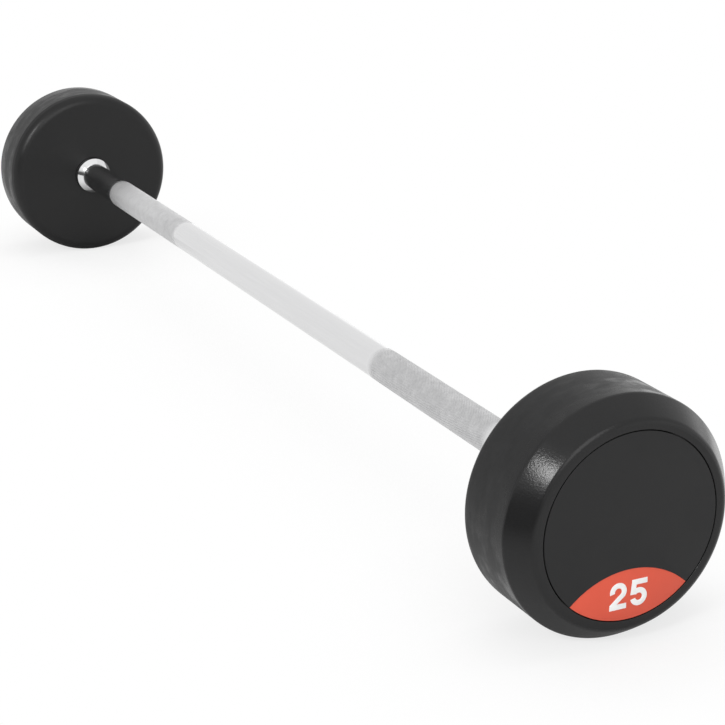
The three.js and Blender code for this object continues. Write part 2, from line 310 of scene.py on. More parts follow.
NUMERAL_TONES = ((0.9, 0.9, 0.89), (0.95, 0.95, 0.945))
NUMERAL_GLOSS = 0.4
NUMERAL_ROUGHNESS = (0.38, 0.46)

IRON_TONES = ((0.05, 0.05, 0.053), (0.12, 0.12, 0.125))
BOND_TONES = ((0.2, 0.19, 0.165), (0.3, 0.29, 0.25))
ZINC_TONES = ((0.5, 0.52, 0.53), (0.66, 0.68, 0.69))
HIDDEN_ROUGHNESS_SPREAD = 0.08
LUMP_SLOPE = 1 / 20  # the depth of a lump as a share of its size


def rubber_material():
    """Moulded black rubber, smooth on the bevels and faces: a fine grain and a soft sheen."""
    material, tree, shader = new_material("black_rubber", specular=RUBBER_GLOSS)
    coords = object_coords(tree)
    clouds = noise_at(tree, coords, size=30 * MM, detail=4, roughness=0.6)
    grain = noise_at(tree, coords, size=1.4 * MM, detail=2, roughness=0.6)
    tree.links.new(mixed(tree, clouds, *RUBBER_TONES), shader.inputs["Base Color"])
    tree.links.new(ramp(tree, clouds, CLOUD_BODY, RUBBER_ROUGHNESS), shader.inputs["Roughness"])
    tree.links.new(bump(tree, grain, depth=0.09 * MM), shader.inputs["Normal"])
    return material


def inner_rubber_material():
    """The side of a head towards the bar: satin on the face, duller round the shoulder. Where
    an export drops the link to the specular level, the level set first stands."""
    material, tree, shader = new_material("inner_rubber", specular=RUBBER_GLOSS)
    coords = object_coords(tree)
    clouds = noise_at(tree, coords, size=30 * MM, detail=4, roughness=0.6)
    grain = noise_at(tree, coords, size=1.1 * MM, detail=2, roughness=0.6)
    tree.links.new(mixed(tree, clouds, *INNER_TONES), shader.inputs["Base Color"])
    along = distance_along(tree, coords)
    shoulder = (INNER_FACE_X + DULL_START, INNER_FACE_X + SHOULDER_ROUNDING)
    gloss = ramp(tree, along, shoulder, INNER_GLOSS)
    tree.links.new(gloss, shader.inputs["Specular IOR Level"])
    uneven = ramp(tree, clouds, CLOUD_BODY, INNER_UNEVENNESS)
    roughness = ramp(tree, along, shoulder, INNER_ROUGHNESS)
    tree.links.new(math_node(tree, "ADD", roughness, uneven), shader.inputs["Roughness"])
    tree.links.new(bump(tree, grain, depth=0.06 * MM), shader.inputs["Normal"])
    return material


def rolled_rubber_material():
    """The round side of a head, which rolls on floors and racks: scuffed, duller and streaked."""
    material, tree, shader = new_material("rolled_rubber", specular=ROLLED_GLOSS)
    coords = object_coords(tree)
    streak_coords = object_coords(tree, stretch=(3, 1, 1))
    streaks = noise_at(tree, streak_coords, size=24 * MM, detail=5, roughness=0.62)
    clouds = noise_at(tree, coords, size=13 * MM, detail=5, roughness=0.7)
    grain = noise_at(tree, coords, size=0.8 * MM, detail=2, roughness=0.6)
    to_bevel = (HEAD_CENTRE_X, OUTER_FACE_X - OUTER_BEVEL_LENGTH)
    polish = ramp(tree, distance_along(tree, coords), to_bevel, ROLLED_POLISH)
    cloud_part = math_node(tree, "MULTIPLY", clouds, ROLLED_CLOUD_SHARE)
    mottling = math_node(tree, "ADD", streaks, cloud_part)
    dullness = math_node(tree, "SUBTRACT", mottling, polish)
    scuffs = ramp(tree, clouds, SCUFF_RANGE, (0, 1))
    roughness = ramp(tree, dullness, DULLNESS_RANGE, ROLLED_ROUGHNESS)
    tree.links.new(mixed(tree, scuffs, *ROLLED_TONES), shader.inputs["Base Color"])
    tree.links.new(roughness, shader.inputs["Roughness"])
    tree.links.new(bump(tree, grain, depth=0.05 * MM), shader.inputs["Normal"])
    return material


def cap_material():
    """Matte black plastic with a fine spark-eroded texture."""
    material, tree, shader = new_material("cap_black", specular=RUBBER_GLOSS)
    coords = object_coords(tree)
    clouds = noise_at(tree, coords, size=40 * MM)
    texture = noise_at(tree, coords, size=0.4 * MM, detail=2)
    tree.links.new(mixed(tree, clouds, *CAP_TONES), shader.inputs["Base Color"])
    tree.links.new(ramp(tree, clouds, NOISE_BODY, CAP_ROUGHNESS), shader.inputs["Roughness"])
    tree.links.new(bump(tree, texture, depth=0.04 * MM), shader.inputs["Normal"])
    return material


def chrome_material():
    """Polished chrome with faint lengthwise grinding lines and a little handling haze."""
    material, tree, shader = new_material("bar_chrome", metallic=1.0)
    lines = noise_at(tree, object_coords(tree, stretch=(0.02, 1, 1)), size=1.1 * MM)
    haze = noise_at(tree, object_coords(tree, stretch=(0.25, 1, 1)), size=18 * MM)
    tree.links.new(mixed(tree, lines, *CHROME_TONES), shader.inputs["Base Color"])
    tree.links.new(ramp(tree, haze, HAZE_RANGE, CHROME_ROUGHNESS), shader.inputs["Roughness"])
    tree.links.new(bump(tree, lines, depth=0.004 * MM), shader.inputs["Normal"])
    return material


def knurl_material():
    """The knurled grip: satin chrome, with painted shade down in the grooves. It is darker in
    soiled patches, and grows darker towards the right across the left grip, to the right grip's
    tone. It turns into the bar's chrome over its run-out."""
    material, tree, shader = new_material("knurl_chrome", metallic=1.0)
    coords = object_coords(tree)
    x, y, z = split(tree, coords)
    squares = [math_node(tree, "MULTIPLY", part, part) for part in (y, z)]
    radius = math_node(tree, "SQRT", math_node(tree, "ADD", *squares))
    height = ramp(tree, radius, (KNURL_GROOVE, KNURL_PEAK), (0, 1))
    patches = noise_at(tree, coords, size=8 * MM, detail=5, roughness=0.65)
    strong_patches = math_node(tree, "MULTIPLY", patches, PATCH_STRENGTH)
    # Patches of soiling, less a darkening along X that grows towards the right over the left
    # grip.
    cleanness = math_node(tree, "SUBTRACT", strong_patches, ramp(tree, x, GRIP_DARKENING_X, GRIP_DARKENING))
    clean_share = ramp(tree, cleanness, CLEANNESS_RANGE, (0, 1))
    # The darker end of each tone, down in the grooves, is painted shade.
    soiled = mixed(tree, height, *SOILED_AND_GROOVE_SHADE_TONES)
    clean = mixed(tree, height, *CLEAN_AND_GROOVE_SHADE_TONES)
    grip_tone = mixed(tree, clean_share, soiled, clean)
    grip_roughness = ramp(tree, cleanness, CLEANNESS_RANGE, GRIP_ROUGHNESS)
    first, last = knurl_ends()
    along = math_node(tree, "ABSOLUTE", x)
    grown_in = ramp(tree, along, (first, first + KNURL_RUN_OUT), (0, 1))
    grown_out = ramp(tree, along, (last - KNURL_RUN_OUT, last), (1, 0))
    grown = math_node(tree, "MULTIPLY", grown_in, grown_out)
    tone = mixed(tree, grown, RUN_OUT_TONE, grip_tone)
    roughness = mixed(tree, grown, RUN_OUT_ROUGHNESS, grip_roughness, kind="FLOAT")
    tree.links.new(tone, shader.inputs["Base Color"])
    tree.links.new(roughness, shader.inputs["Roughness"])
    return material


def collar_material():
    """Bright polished chrome with faint turning lines round the collar."""
    material, tree, shader = new_material("collar_chrome", metallic=1.0)
    line_coords = object_coords(tree, stretch=(1, 0.03, 0.03))
    lines = noise_at(tree, line_coords, size=0.7 * MM, detail=2)
    roughness = ramp(tree, lines, TURNING_LINE_RANGE, COLLAR_ROUGHNESS)
    tree.links.new(mixed(tree, lines, *COLLAR_TONES), shader.inputs["Base Color"])
    tree.links.new(roughness, shader.inputs["Roughness"])
    return material


def badge_material():
    """Warm red enamel with a fine orange-peel surface."""
    material, tree, shader = new_material("badge_red", specular=BADGE_GLOSS)
    coords = object_coords(tree)
    clouds = noise_at(tree, coords, size=9 * MM)
    peel = noise_at(tree, coords, size=1.2 * MM, detail=2)
    tree.links.new(mixed(tree, clouds, *BADGE_TONES), shader.inputs["Base Color"])
    tree.links.new(ramp(tree, clouds, NOISE_BODY, BADGE_ROUGHNESS), shader.inputs["Roughness"])
    tree.links.new(bump(tree, peel, depth=0.02 * MM), shader.inputs["Normal"])
    return material


def numeral_material():
    """White enamel, slightly uneven."""
    material, tree, shader = new_material("numeral_white", specular=NUMERAL_GLOSS)
    clouds = noise_at(tree, object_coords(tree), size=5 * MM)
    tree.links.new(mixed(tree, clouds, *NUMERAL_TONES), shader.inputs["Base Color"])
    tree.links.new(ramp(tree, clouds, NOISE_BODY, NUMERAL_ROUGHNESS), shader.inputs["Roughness"])
    return material


def hidden_material(name, tones, lump, roughness, metallic):
    """A rough or plated finish for a piece inside the head."""
    material, tree, shader = new_material(name, metallic=metallic)
    lumps = noise_at(tree, object_coords(tree), size=lump, detail=4, roughness=0.6)
    around = (roughness - HIDDEN_ROUGHNESS_SPREAD, roughness + HIDDEN_ROUGHNESS_SPREAD)
    tree.links.new(mixed(tree, lumps, *tones), shader.inputs["Base Color"])
    tree.links.new(ramp(tree, lumps, NOISE_BODY, around), shader.inputs["Roughness"])
    tree.links.new(bump(tree, lumps, depth=lump * LUMP_SLOPE), shader.inputs["Normal"])
    return material


# Mesh helpers


def arc(centre, radius, start, end, steps):
    """Points on an arc, both ends included."""
    turns = [start + (end - start) * i / steps for i in range(steps + 1)]
    return [(centre[0] + radius * math.cos(t), centre[1] + radius * math.sin(t)) for t in turns]


def rounded(corners, is_ring):
    """An outline with its corners rounded. A corner is (x, r) or (x, r, radius[, steps])."""
    points = []
    count = len(corners)
    for i, corner in enumerate(corners):
        here = Vector(corner[:2])
        is_end = not is_ring and i in (0, count - 1)
        if len(corner) == 2 or is_end:
            points.append(here)
            continue
        back = Vector(corners[i - 1][:2]) - here
        ahead = Vector(corners[(i + 1) % count][:2]) - here
        half_angle = back.angle(ahead) / 2
        reach = min(corner[2] / math.tan(half_angle), back.length / 2, ahead.length / 2)
        radius = reach * math.tan(half_angle)
        centre = here + (back.normalized() + ahead.normalized()).normalized() * (
            radius / math.sin(half_angle)
        )
        first = here + back.normalized() * reach - centre
        last = here + ahead.normalized() * reach - centre
        sweep = math.atan2(first.x * last.y - first.y * last.x, first.dot(last))
        steps = corner[3] if len(corner) > 3 else ARC_STEPS
        for step in range(steps + 1):
            points.append(centre + Matrix.Rotation(sweep * step / steps, 2) @ first)
    return points


def divided(points, spacing, is_ring):
    """The outline with points added along its long stretches."""
    made = []
    ends = points[1:] + points[:1] if is_ring else points[1:]
    for start, end in zip(points, ends):
        steps = max(1, round((end - start).length / spacing))
        made += [start.lerp(end, i / steps) for i in range(steps)]
    if not is_ring:
        made.append(points[-1])
    return made


def add_ring(bm, x, radius, columns):
    """Vertices round the X axis, or one vertex where the radius is zero."""
    if radius == 0:
        return [bm.verts.new((x, 0, 0))]
    turns = [2 * math.pi * i / columns for i in range(columns)]
    return [bm.verts.new((x, radius * math.cos(t), radius * math.sin(t))) for t in turns]


def bridge(bm, first, second):
    """Faces between two rings, either of which may be a single vertex."""
    count = max(len(first), len(second))
    for i in range(count):
        j = (i + 1) % count
        if len(first) == 1:
            bm.faces.new((first[0], second[j], second[i]))
        elif len(second) == 1:
            bm.faces.new((first[i], first[j], second[0]))
        else:
            bm.faces.new((first[i], first[j], second[j], second[i]))


def finished(bm, name, *materials):
    """Turns a bmesh into an object, its faces out, its edges sharp past the smooth angle."""
    bmesh.ops.recalc_face_normals(bm, faces=bm.faces)
    mesh = bpy.data.meshes.new(name)
    bm.to_mesh(mesh)
    bm.free()
    mesh.shade_smooth()
    mesh.set_sharp_from_angle(angle=SMOOTH_ANGLE)
    for material in materials:
        mesh.materials.append(material)
    made = bpy.data.objects.new(name, mesh)
    bpy.context.scene.collection.objects.link(made)
    return made


def revolved(name, corners, sides, material, is_ring=True, spacing=None):
    """A body turned about the X axis from an outline of (x, r) corners."""
    points = rounded(corners, is_ring)
    if spacing:
        points = divided(points, spacing, is_ring)
    bm = bmesh.new()
    rings = [add_ring(bm, p.x, p.y, sides) for p in points]
    for first, second in zip(rings, rings[1:]):
        bridge(bm, first, second)
    if is_ring:
        bridge(bm, rings[-1], rings[0])
    return finished(bm, name, material)


def prism(name, outline, back_x, front_x, material):
    """A flat plate with a (y, z) outline, seen from outside the +X end."""
    bm = bmesh.new()
    back = [bm.verts.new((back_x, y, z)) for y, z in outline]
    front = [bm.verts.new((front_x, y, z)) for y, z in outline]
    bm.faces.new(back)
    bm.faces.new(front)
    for i in range(len(outline)):
        j = (i + 1) % len(outline)
        bm.faces.new((back[i], back[j], front[j], front[i]))
    return finished(bm, name, material)


def apply_modifiers(piece):
    """Makes what the modifiers give the piece's own mesh."""
    graph = bpy.context.evaluated_depsgraph_get()
    mesh = bpy.data.meshes.new_from_object(piece.evaluated_get(graph))
    piece.modifiers.clear()
    piece.data = mesh
    mesh.set_sharp_from_angle(angle=SMOOTH_ANGLE)
    return piece


def weld(piece):
    """Joins the vertices that a cut left in the same place."""
    bm = bmesh.new()
    bm.from_mesh(piece.data)
    bmesh.ops.remove_doubles(bm, verts=bm.verts, dist=WELD_DISTANCE)
    bmesh.ops.dissolve_degenerate(bm, edges=bm.edges, dist=WELD_DISTANCE)
    bm.to_mesh(piece.data)
    bm.free()
    return piece


def cut(piece, *tools):
    """Cuts the tools' shapes out of the piece, and removes the tools."""
    for tool in tools:
        made = piece.modifiers.new("cut", "BOOLEAN")
        made.operation = "DIFFERENCE"
        made.solver = "EXACT"
        made.object = tool
    apply_modifiers(piece)
    for tool in tools:
        bpy.data.objects.remove(tool)
    return weld(piece)


def soften(piece, width):
    """Breaks the sharp edges of a plate."""
    made = piece.modifiers.new("edges", "BEVEL")
    made.width = width
    made.segments = PLATE_BEVEL_STEPS
    made.limit_method = "ANGLE"
    made.angle_limit = SMOOTH_ANGLE
    return apply_modifiers(piece)


def ripple(piece, height, length):
    """Moves each vertex a little along its normal, as the mould left the surface."""
    shifts = []
    for vertex in piece.data.vertices:
        broad = noise.noise(vertex.co / length)
        fine = noise.noise(vertex.co * FINE_WAVE_RATIO / length)
        shift = broad + FINE_WAVE_SHARE * fine
        shifts.append(vertex.normal * shift * height)
    for vertex, shift in zip(piece.data.vertices, shifts):
        vertex.co += shift
    piece.data.update()
    return piece


# Bar


def knurl_ends():
    """Where a grip begins and ends along X, with its run-out at both ends."""
    end = INNER_FACE_X - NECK_LENGTH + KNURL_RUN_OUT / 2
    return end - KNURL_LENGTH - KNURL_RUN_OUT, end


def knurl(bm, first, last):
    """Pyramids between two rings, with grooves that cross in two helices.

    The places form a grid of rows along X and columns round the bar. Those where the row and
    column add up to an even number are where grooves cross, and the others are the peaks.
    """
    start_x, end_x = first[0].co.x, last[0].co.x
    grid = [first]
    for row in range(1, KNURL_ROWS):
        share = row / KNURL_ROWS
        x = start_x + (end_x - start_x) * share
        depth_share = min(1, abs(end_x - start_x) * min(share, 1 - share) / KNURL_RUN_OUT)
        ring = []
        for column in range(BAR_COLUMNS):
            full = KNURL_PEAK if (row + column) % 2 else KNURL_GROOVE
            radius = BAR_RADIUS + (full - BAR_RADIUS) * depth_share
            turn = 2 * math.pi * column / BAR_COLUMNS
            ring.append(bm.verts.new((x, radius * math.cos(turn), radius * math.sin(turn))))
        grid.append(ring)
    grid.append(last)
    for row in range(KNURL_ROWS):
        near, far = grid[row], grid[row + 1]
        for column in range(BAR_COLUMNS):
            beyond = (column + 1) % BAR_COLUMNS
            corners = (near[column], near[beyond], far[beyond], far[column])
            if (row + column) % 2:
                corners = corners[1:] + corners[:1]
            a, b, c, d = corners
            for face in (bm.faces.new((a, b, c)), bm.faces.new((a, c, d))):
                face.material_index = KNURLED_PLACE


def bar(chrome, knurled):
    """The whole bar: spigots, necks, two knurled grips and the smooth middle. Each side starts
    where its grip does and ends in the bottom of the bolt's hole."""
    knurl_start, knurl_end = knurl_ends()
    shoulder_x = CORE_INNER_X - CORE_GAP
    tap_end_x = BOLT_TIP_X - TAP_EXTRA
    end_outline = [
        (shoulder_x, BAR_RADIUS),
        (shoulder_x, SPIGOT_RADIUS),
        (SPIGOT_END_X - SPIGOT_CHAMFER, SPIGOT_RADIUS),
        (SPIGOT_END_X, SPIGOT_RADIUS - SPIGOT_CHAMFER),
        (SPIGOT_END_X, TAP_RADIUS),
        (tap_end_x, TAP_RADIUS),
        (tap_end_x, 0),
    ]
    bm = bmesh.new()
    other_start = None
    for side in (1, -1):
        start, grip_start, grip_end, neck = (
            add_ring(bm, side * x, BAR_RADIUS, BAR_COLUMNS)
            for x in (knurl_start, knurl_start + KNURL_EDGE, knurl_end - KNURL_EDGE, knurl_end)
        )
        bridge(bm, start, grip_start)
        knurl(bm, grip_start, grip_end)
        bridge(bm, grip_end, neck)
        before = neck
        for x, radius in end_outline:
            ring = add_ring(bm, side * x, radius, BAR_COLUMNS)
            bridge(bm, before, ring)
            before = ring
        if other_start:
            bridge(bm, other_start, start)
        other_start = start
    piece = finished(bm, "bar_knurled", chrome, knurled)
    rim = arc((0, SPIGOT_RADIUS), PIN_HOLE_RADIUS, 0, 2 * math.pi, PIN_HOLE_SIDES)[:-1]
    mouth_x = SPIGOT_END_X + CUT_OVERRUN
    holes = [prism("hole", rim, side * PIN_INNER_X, side * mouth_x, chrome) for side in (1, -1)]
    return cut(piece, *holes)


# Head


def crowned(start, end):
    """Points between two places on an outline, standing out most in the middle."""
    along = Vector(end) - Vector(start)
    out = Vector((-along.y, along.x)).normalized()
    points = []
    for share in CROWN_SHARES:
        lift = 4 * share * (1 - share) * BEVEL_CROWN
        points.append(tuple(Vector(start) + along * share + out * lift))
    return points


def paint_sides(piece, inner, rolled, scuff_start):
    """Gives the side towards the bar, and the round side, their own finishes."""
    piece.data.materials.append(inner)
    piece.data.materials.append(rolled)
    for face in piece.data.polygons:
        out = Vector((0, face.center.y, face.center.z)).length
        if face.center.x < INNER_FACE_X + scuff_start:
            face.material_index = INNER_PLACE
        elif out > HEAD_RADIUS - RIM_ROUNDING / 2 and abs(face.normal.x) < SIDE_TILT:
            face.material_index = ROLLED_PLACE


def rubber_cover(materials, scuff_start):
    """The moulded cover, hollow for the iron core, with a recess for the cap."""
    moulded, inner, rolled = materials
    recess_radius = HEAD_RADIUS - OUTER_BEVEL_DROP - LIP_WIDTH
    flange_radius = recess_radius - GROOVE_WIDTH - FLANGE_WIDTH
    bore = COLLAR_RADIUS + CORE_GAP
    core_radius = HEAD_RADIUS - RUBBER_WALL + CORE_GAP
    bevel_turn = math.atan2(OUTER_BEVEL_DROP, OUTER_BEVEL_LENGTH)
    wall = RUBBER_WALL - CORE_GAP
    hollow_bevel_x = OUTER_FACE_X - OUTER_BEVEL_LENGTH - wall * math.tan(bevel_turn / 2)
    hollow_start = CORE_INNER_X - CORE_GAP
    hollow_end = CORE_OUTER_X + CORE_GAP
    hollow_end_radius = core_radius - (hollow_end - hollow_bevel_x) * math.tan(bevel_turn)
    bevel_rim = (OUTER_FACE_X - OUTER_BEVEL_LENGTH, HEAD_RADIUS)
    bevel_edge = (OUTER_FACE_X, HEAD_RADIUS - OUTER_BEVEL_DROP)
    corners = [
        (INNER_FACE_X, bore),
        (INNER_FACE_X, HEAD_RADIUS, SHOULDER_ROUNDING, SHOULDER_STEPS),
        (*bevel_rim, RIM_ROUNDING, RIM_STEPS),
        *crowned(bevel_rim, bevel_edge),
        (*bevel_edge, EDGE_ROUNDING, EDGE_STEPS),
        (OUTER_FACE_X, recess_radius, LIP_ROUNDING),
        (BOND_FRONT_X, recess_radius),
        (BOND_FRONT_X, flange_radius),
        (hollow_end, flange_radius),
        (hollow_end, hollow_end_radius),
        (hollow_bevel_x, core_radius),
        (hollow_start + CORE_CHAMFER, core_radius),
        (hollow_start, core_radius - CORE_CHAMFER),
        (hollow_start, bore),
    ]
    piece = revolved("rubber_cover_moulded", corners, HEAD_SIDES, moulded, spacing=RING_SPACING)
    paint_sides(piece, inner, rolled, scuff_start)
    return ripple(piece, MOULD_WAVE_HEIGHT, MOULD_WAVE_LENGTH)


def collar(material):
    """The bright ring that the bar passes through, tapered to a thin end."""
    tip_x = INNER_FACE_X - COLLAR_PROUD
    band_x = INNER_FACE_X - COLLAR_BAND
    tip_radius = COLLAR_BORE + COLLAR_LIP
    seat_x = CORE_INNER_X - CORE_GAP
    corners = [
        (tip_x, COLLAR_BORE),
        (tip_x, tip_radius, COLLAR_LIP / 2),
        (band_x, COLLAR_RADIUS, COLLAR_ROUNDING),
        (seat_x, COLLAR_RADIUS),
        (seat_x, COLLAR_BORE),
    ]
    return revolved("collar_polished", corners, COLLAR_SIDES, material)


def cap_radius():
    """The radius of the end cap, inside the groove round it."""
    return HEAD_RADIUS - OUTER_BEVEL_DROP - LIP_WIDTH - GROOVE_WIDTH


def badge_outline(rim_growth, arc_growth):
    """The lens between the rim of the cap and an arc across it."""
    rim = cap_radius() + rim_growth
    across = BADGE_ARC_RADIUS + arc_growth
    centre = BADGE_HEIGHT - cap_radius() - BADGE_ARC_RADIUS
    tip_z = (centre**2 + rim**2 - across**2) / (2 * centre)
    tip_y = math.sqrt(rim**2 - tip_z**2)
    rim_turn = math.atan2(tip_z, tip_y)
    arc_turn = math.atan2(tip_z - centre, tip_y)
    below = arc((0, 0), rim, -math.pi - rim_turn, rim_turn, BADGE_ARC_STEPS)
    above = arc((0, centre), across, arc_turn, math.pi - arc_turn, BADGE_ARC_STEPS)
    return below + above[1:-1]


def end_cap(material):
    """The flat disc with a pocket for the badge."""
    corners = [
        (CAP_BACK_X, 0),
        (CAP_BACK_X, cap_radius(), CAP_ROUNDING),
        (OUTER_FACE_X, cap_radius(), CAP_ROUNDING),
        (OUTER_FACE_X, 0),
    ]
    piece = revolved("end_cap_matte", corners, HEAD_SIDES, material, is_ring=False)
    lens = badge_outline(CUT_OVERRUN, BADGE_GAP)
    pocket = prism("pocket", lens, BADGE_BACK_X, OUTER_FACE_X + CUT_OVERRUN, material)
    return cut(piece, pocket)


def badge_front_x():
    """Where the badge's face lies, which the numerals stand on."""
    return OUTER_FACE_X - BADGE_SETBACK


def badge(material):
    """The red lens, set a little back from the cap's face."""
    piece = prism("badge_enamel", badge_outline(0, 0), BADGE_BACK_X, badge_front_x(), material)
    return soften(piece, PLATE_BEVEL)


def numeral(name, outline, side, material):
    """A numeral drawn from its lower left corner, set left or right of the badge's middle."""
    left = NUMERAL_GAP / 2 if side > 0 else -NUMERAL_GAP / 2 - NUMERAL_WIDTH
    bottom = BADGE_HEIGHT / 2 - cap_radius() - NUMERAL_HEIGHT / 2
    placed = [(left + y, bottom + z) for y, z in outline]
    piece = prism(name, placed, badge_front_x(), OUTER_FACE_X, material)
    return soften(piece, PLATE_BEVEL)


def numeral_two(material):
    """A 2: round the bowl to the foot, and back inside the bowl."""
    bowl = NUMERAL_WIDTH / 2
    inside = bowl - STROKE_WIDTH
    centre = (bowl, NUMERAL_HEIGHT - bowl)
    leave_turn = -math.pi / 5
    foot_join_share = 1.4
    outline = arc(centre, bowl, HOOK_TURN, leave_turn, NUMERAL_ARC_STEPS)
    outline += [
        (STROKE_WIDTH * foot_join_share, STROKE_WIDTH),
        (NUMERAL_WIDTH, STROKE_WIDTH),
        (NUMERAL_WIDTH, 0),
        (0, 0),
        (0, STROKE_WIDTH),
    ]
    outline += arc(centre, inside, leave_turn, HOOK_TURN, NUMERAL_ARC_STEPS)
    return numeral("numeral_two_enamel", outline, -1, material)


def numeral_five(material):
    """A 5: round the bowl to the stem and the flag, and back inside the bowl."""
    bowl = NUMERAL_WIDTH / 2
    inside = bowl - STROKE_WIDTH
    top_z = NUMERAL_HEIGHT - STROKE_WIDTH
    stem_left = STROKE_WIDTH / 4
    stem_low = bowl + STROKE_WIDTH / 2
    stem_high = top_z + STROKE_WIDTH / 2
    lean = stem_left / (stem_high - stem_low)
    stem_meets_bowl = math.pi * 0.609
    inner_end = math.pi * 0.8
    outline = arc((bowl, bowl), bowl, HOOK_TURN, 2 * math.pi + stem_meets_bowl, NUMERAL_ARC_STEPS)
    outline += [
        (STROKE_WIDTH + (top_z - stem_low) * lean, top_z),
        (NUMERAL_WIDTH, top_z),
        (NUMERAL_WIDTH, NUMERAL_HEIGHT),
        (stem_left, NUMERAL_HEIGHT),
        (stem_left, stem_high),
        (0, stem_low),
        (STROKE_WIDTH, stem_low),
    ]
    inner = arc((bowl, bowl), inside, 2 * math.pi + inner_end, HOOK_TURN, NUMERAL_ARC_STEPS)
    return numeral("numeral_five_enamel", outline + inner, 1, material)


# Studio

WHITE = (1.0, 1.0, 1.0)
FILL_LEVEL = 0.45  # how strongly the room lights the object

# The room in reflections. It changes over ranges of a direction's X, Y, Z or height, which is
# its Z above the rising upper edge of the dark side.
DARK_SIDE_LEVEL = 0.1
TO_WHITE = (DARK_SIDE_LEVEL, 1)
TO_DARK = (1, DARK_SIDE_LEVEL)
ROOM_SIDE_Y = (-0.8, -0.4)
ROOM_BEHIND_X = (-0.2, 0.0)
ROOM_ABOVE = (0.0, 0.2)
DARK_SIDE_RISE = 0.6  # the slope of that edge along X
BRIGHT_SIDE_GAIN = (0, 0.5)
ROOM_BRIGHT_Y = (0.42, 0.66)
ROOM_BRIGHT_Z = (0.0, 0.35)

# The floor in reflections, with painted shade towards the dark side, painted light at +Y near
# the barbell, a painted shadow round the left head and one where the barbell is near. It changes
# over ranges of a place's X, Y or distance.
FLOOR_SIDE_Y = (-0.6, -0.1)
FLOOR_BEHIND_X = (0.3, 0.6)
FLOOR_BRIGHT_Y = (0.3, 0.6)
FLOOR_FAR_Y = (0.6, 1.2)
LEFT_FOOT = (-0.62, 0.01, 0)  # the middle of the painted shadow, in reflections, on the floor round the left head
FOOT_REACH = (0.07, 0.24)
FOOT_SHADE = (0.75, 1)

FLOOR_SIZE = 24
FLOOR_TONE = (0.9, 0.9, 0.9)
FLOOR_ROUGHNESS = 0.9
OPENNESS_REACH = 0.15  # how far the floor feels what stands on it
OPENNESS_SAMPLES = 8
GLOW_OPENNESS = (0.5, 0.98)
GLOW_SHARE = (0.75, 1)  # the rest of what the camera sees is the lit floor, with its shadow
CONTACT_OPENNESS = (0.12, 1.0)
CONTACT_SHADE = (0.17, 1)  # of the floor in reflections: a painted shadow where the barbell is near

LAMP_DISTANCE = 10
KEY_DIRECTION = Vector((0.4, -0.725, 0.56))
KEY_SIZE = 2
KEY_POWER = 430
FRONT_DIRECTION = Vector((0.8, -0.07, 0.6))
FRONT_SIZE = 6
FRONT_POWER = 235
TOP_HEIGHT = 1.9
TOP_SIZE = 2.4
TOP_POWER = 2


def seen_rays(tree):
    """Light path sockets: what the camera sees, and what metal, gloss and glass show."""
    rays = node(tree, "ShaderNodeLightPath")
    mirror = math_node(
        tree, "MAXIMUM", rays.outputs["Is Glossy Ray"], rays.outputs["Is Transmission Ray"]
    )
    return rays.outputs["Is Camera Ray"], mirror


def gained(tree, level, bright, kept):
    """A level with the bright side's gain, as far as that is kept."""
    gain = math_node(tree, "ADD", math_node(tree, "MULTIPLY", bright, kept), 1)
    return math_node(tree, "MULTIPLY", level, gain)


def world():
    """White for the camera. Reflections show a white room, dark at -Y in front of the right
    head, from the floor up to the lamps, and brighter low at +Y."""
    made = bpy.data.worlds.new("studio")
    made.use_nodes = True
    bpy.context.scene.world = made
    tree = made.node_tree
    coords = node(tree, "ShaderNodeTexCoord")
    x, y, z = split(tree, coords.outputs["Generated"])
    aside = ramp(tree, y, ROOM_SIDE_Y, TO_WHITE)
    height = math_node(tree, "SUBTRACT", z, math_node(tree, "MULTIPLY", x, DARK_SIDE_RISE))
    above = ramp(tree, height, ROOM_ABOVE, TO_WHITE)
    behind = ramp(tree, x, ROOM_BEHIND_X, TO_DARK)
    dark_side = math_node(tree, "MAXIMUM", math_node(tree, "MAXIMUM", aside, above), behind)
    bright_side = ramp(tree, y, ROOM_BRIGHT_Y, BRIGHT_SIDE_GAIN)
    low = ramp(tree, z, ROOM_BRIGHT_Z, (1, 0))
    around = gained(tree, dark_side, bright_side, low)
    camera, mirror = seen_rays(tree)
    seen = math_node(tree, "ADD", camera, mirror)
    fill = math_node(tree, "MULTIPLY", math_node(tree, "SUBTRACT", 1.0, seen), FILL_LEVEL)
    reflected = math_node(tree, "MULTIPLY", mirror, around)
    level = math_node(tree, "ADD", math_node(tree, "ADD", camera, reflected), fill)
    background = tree.nodes["Background"]
    background.inputs["Color"].default_value = (*WHITE, 1)
    tree.links.new(level, background.inputs["Strength"])


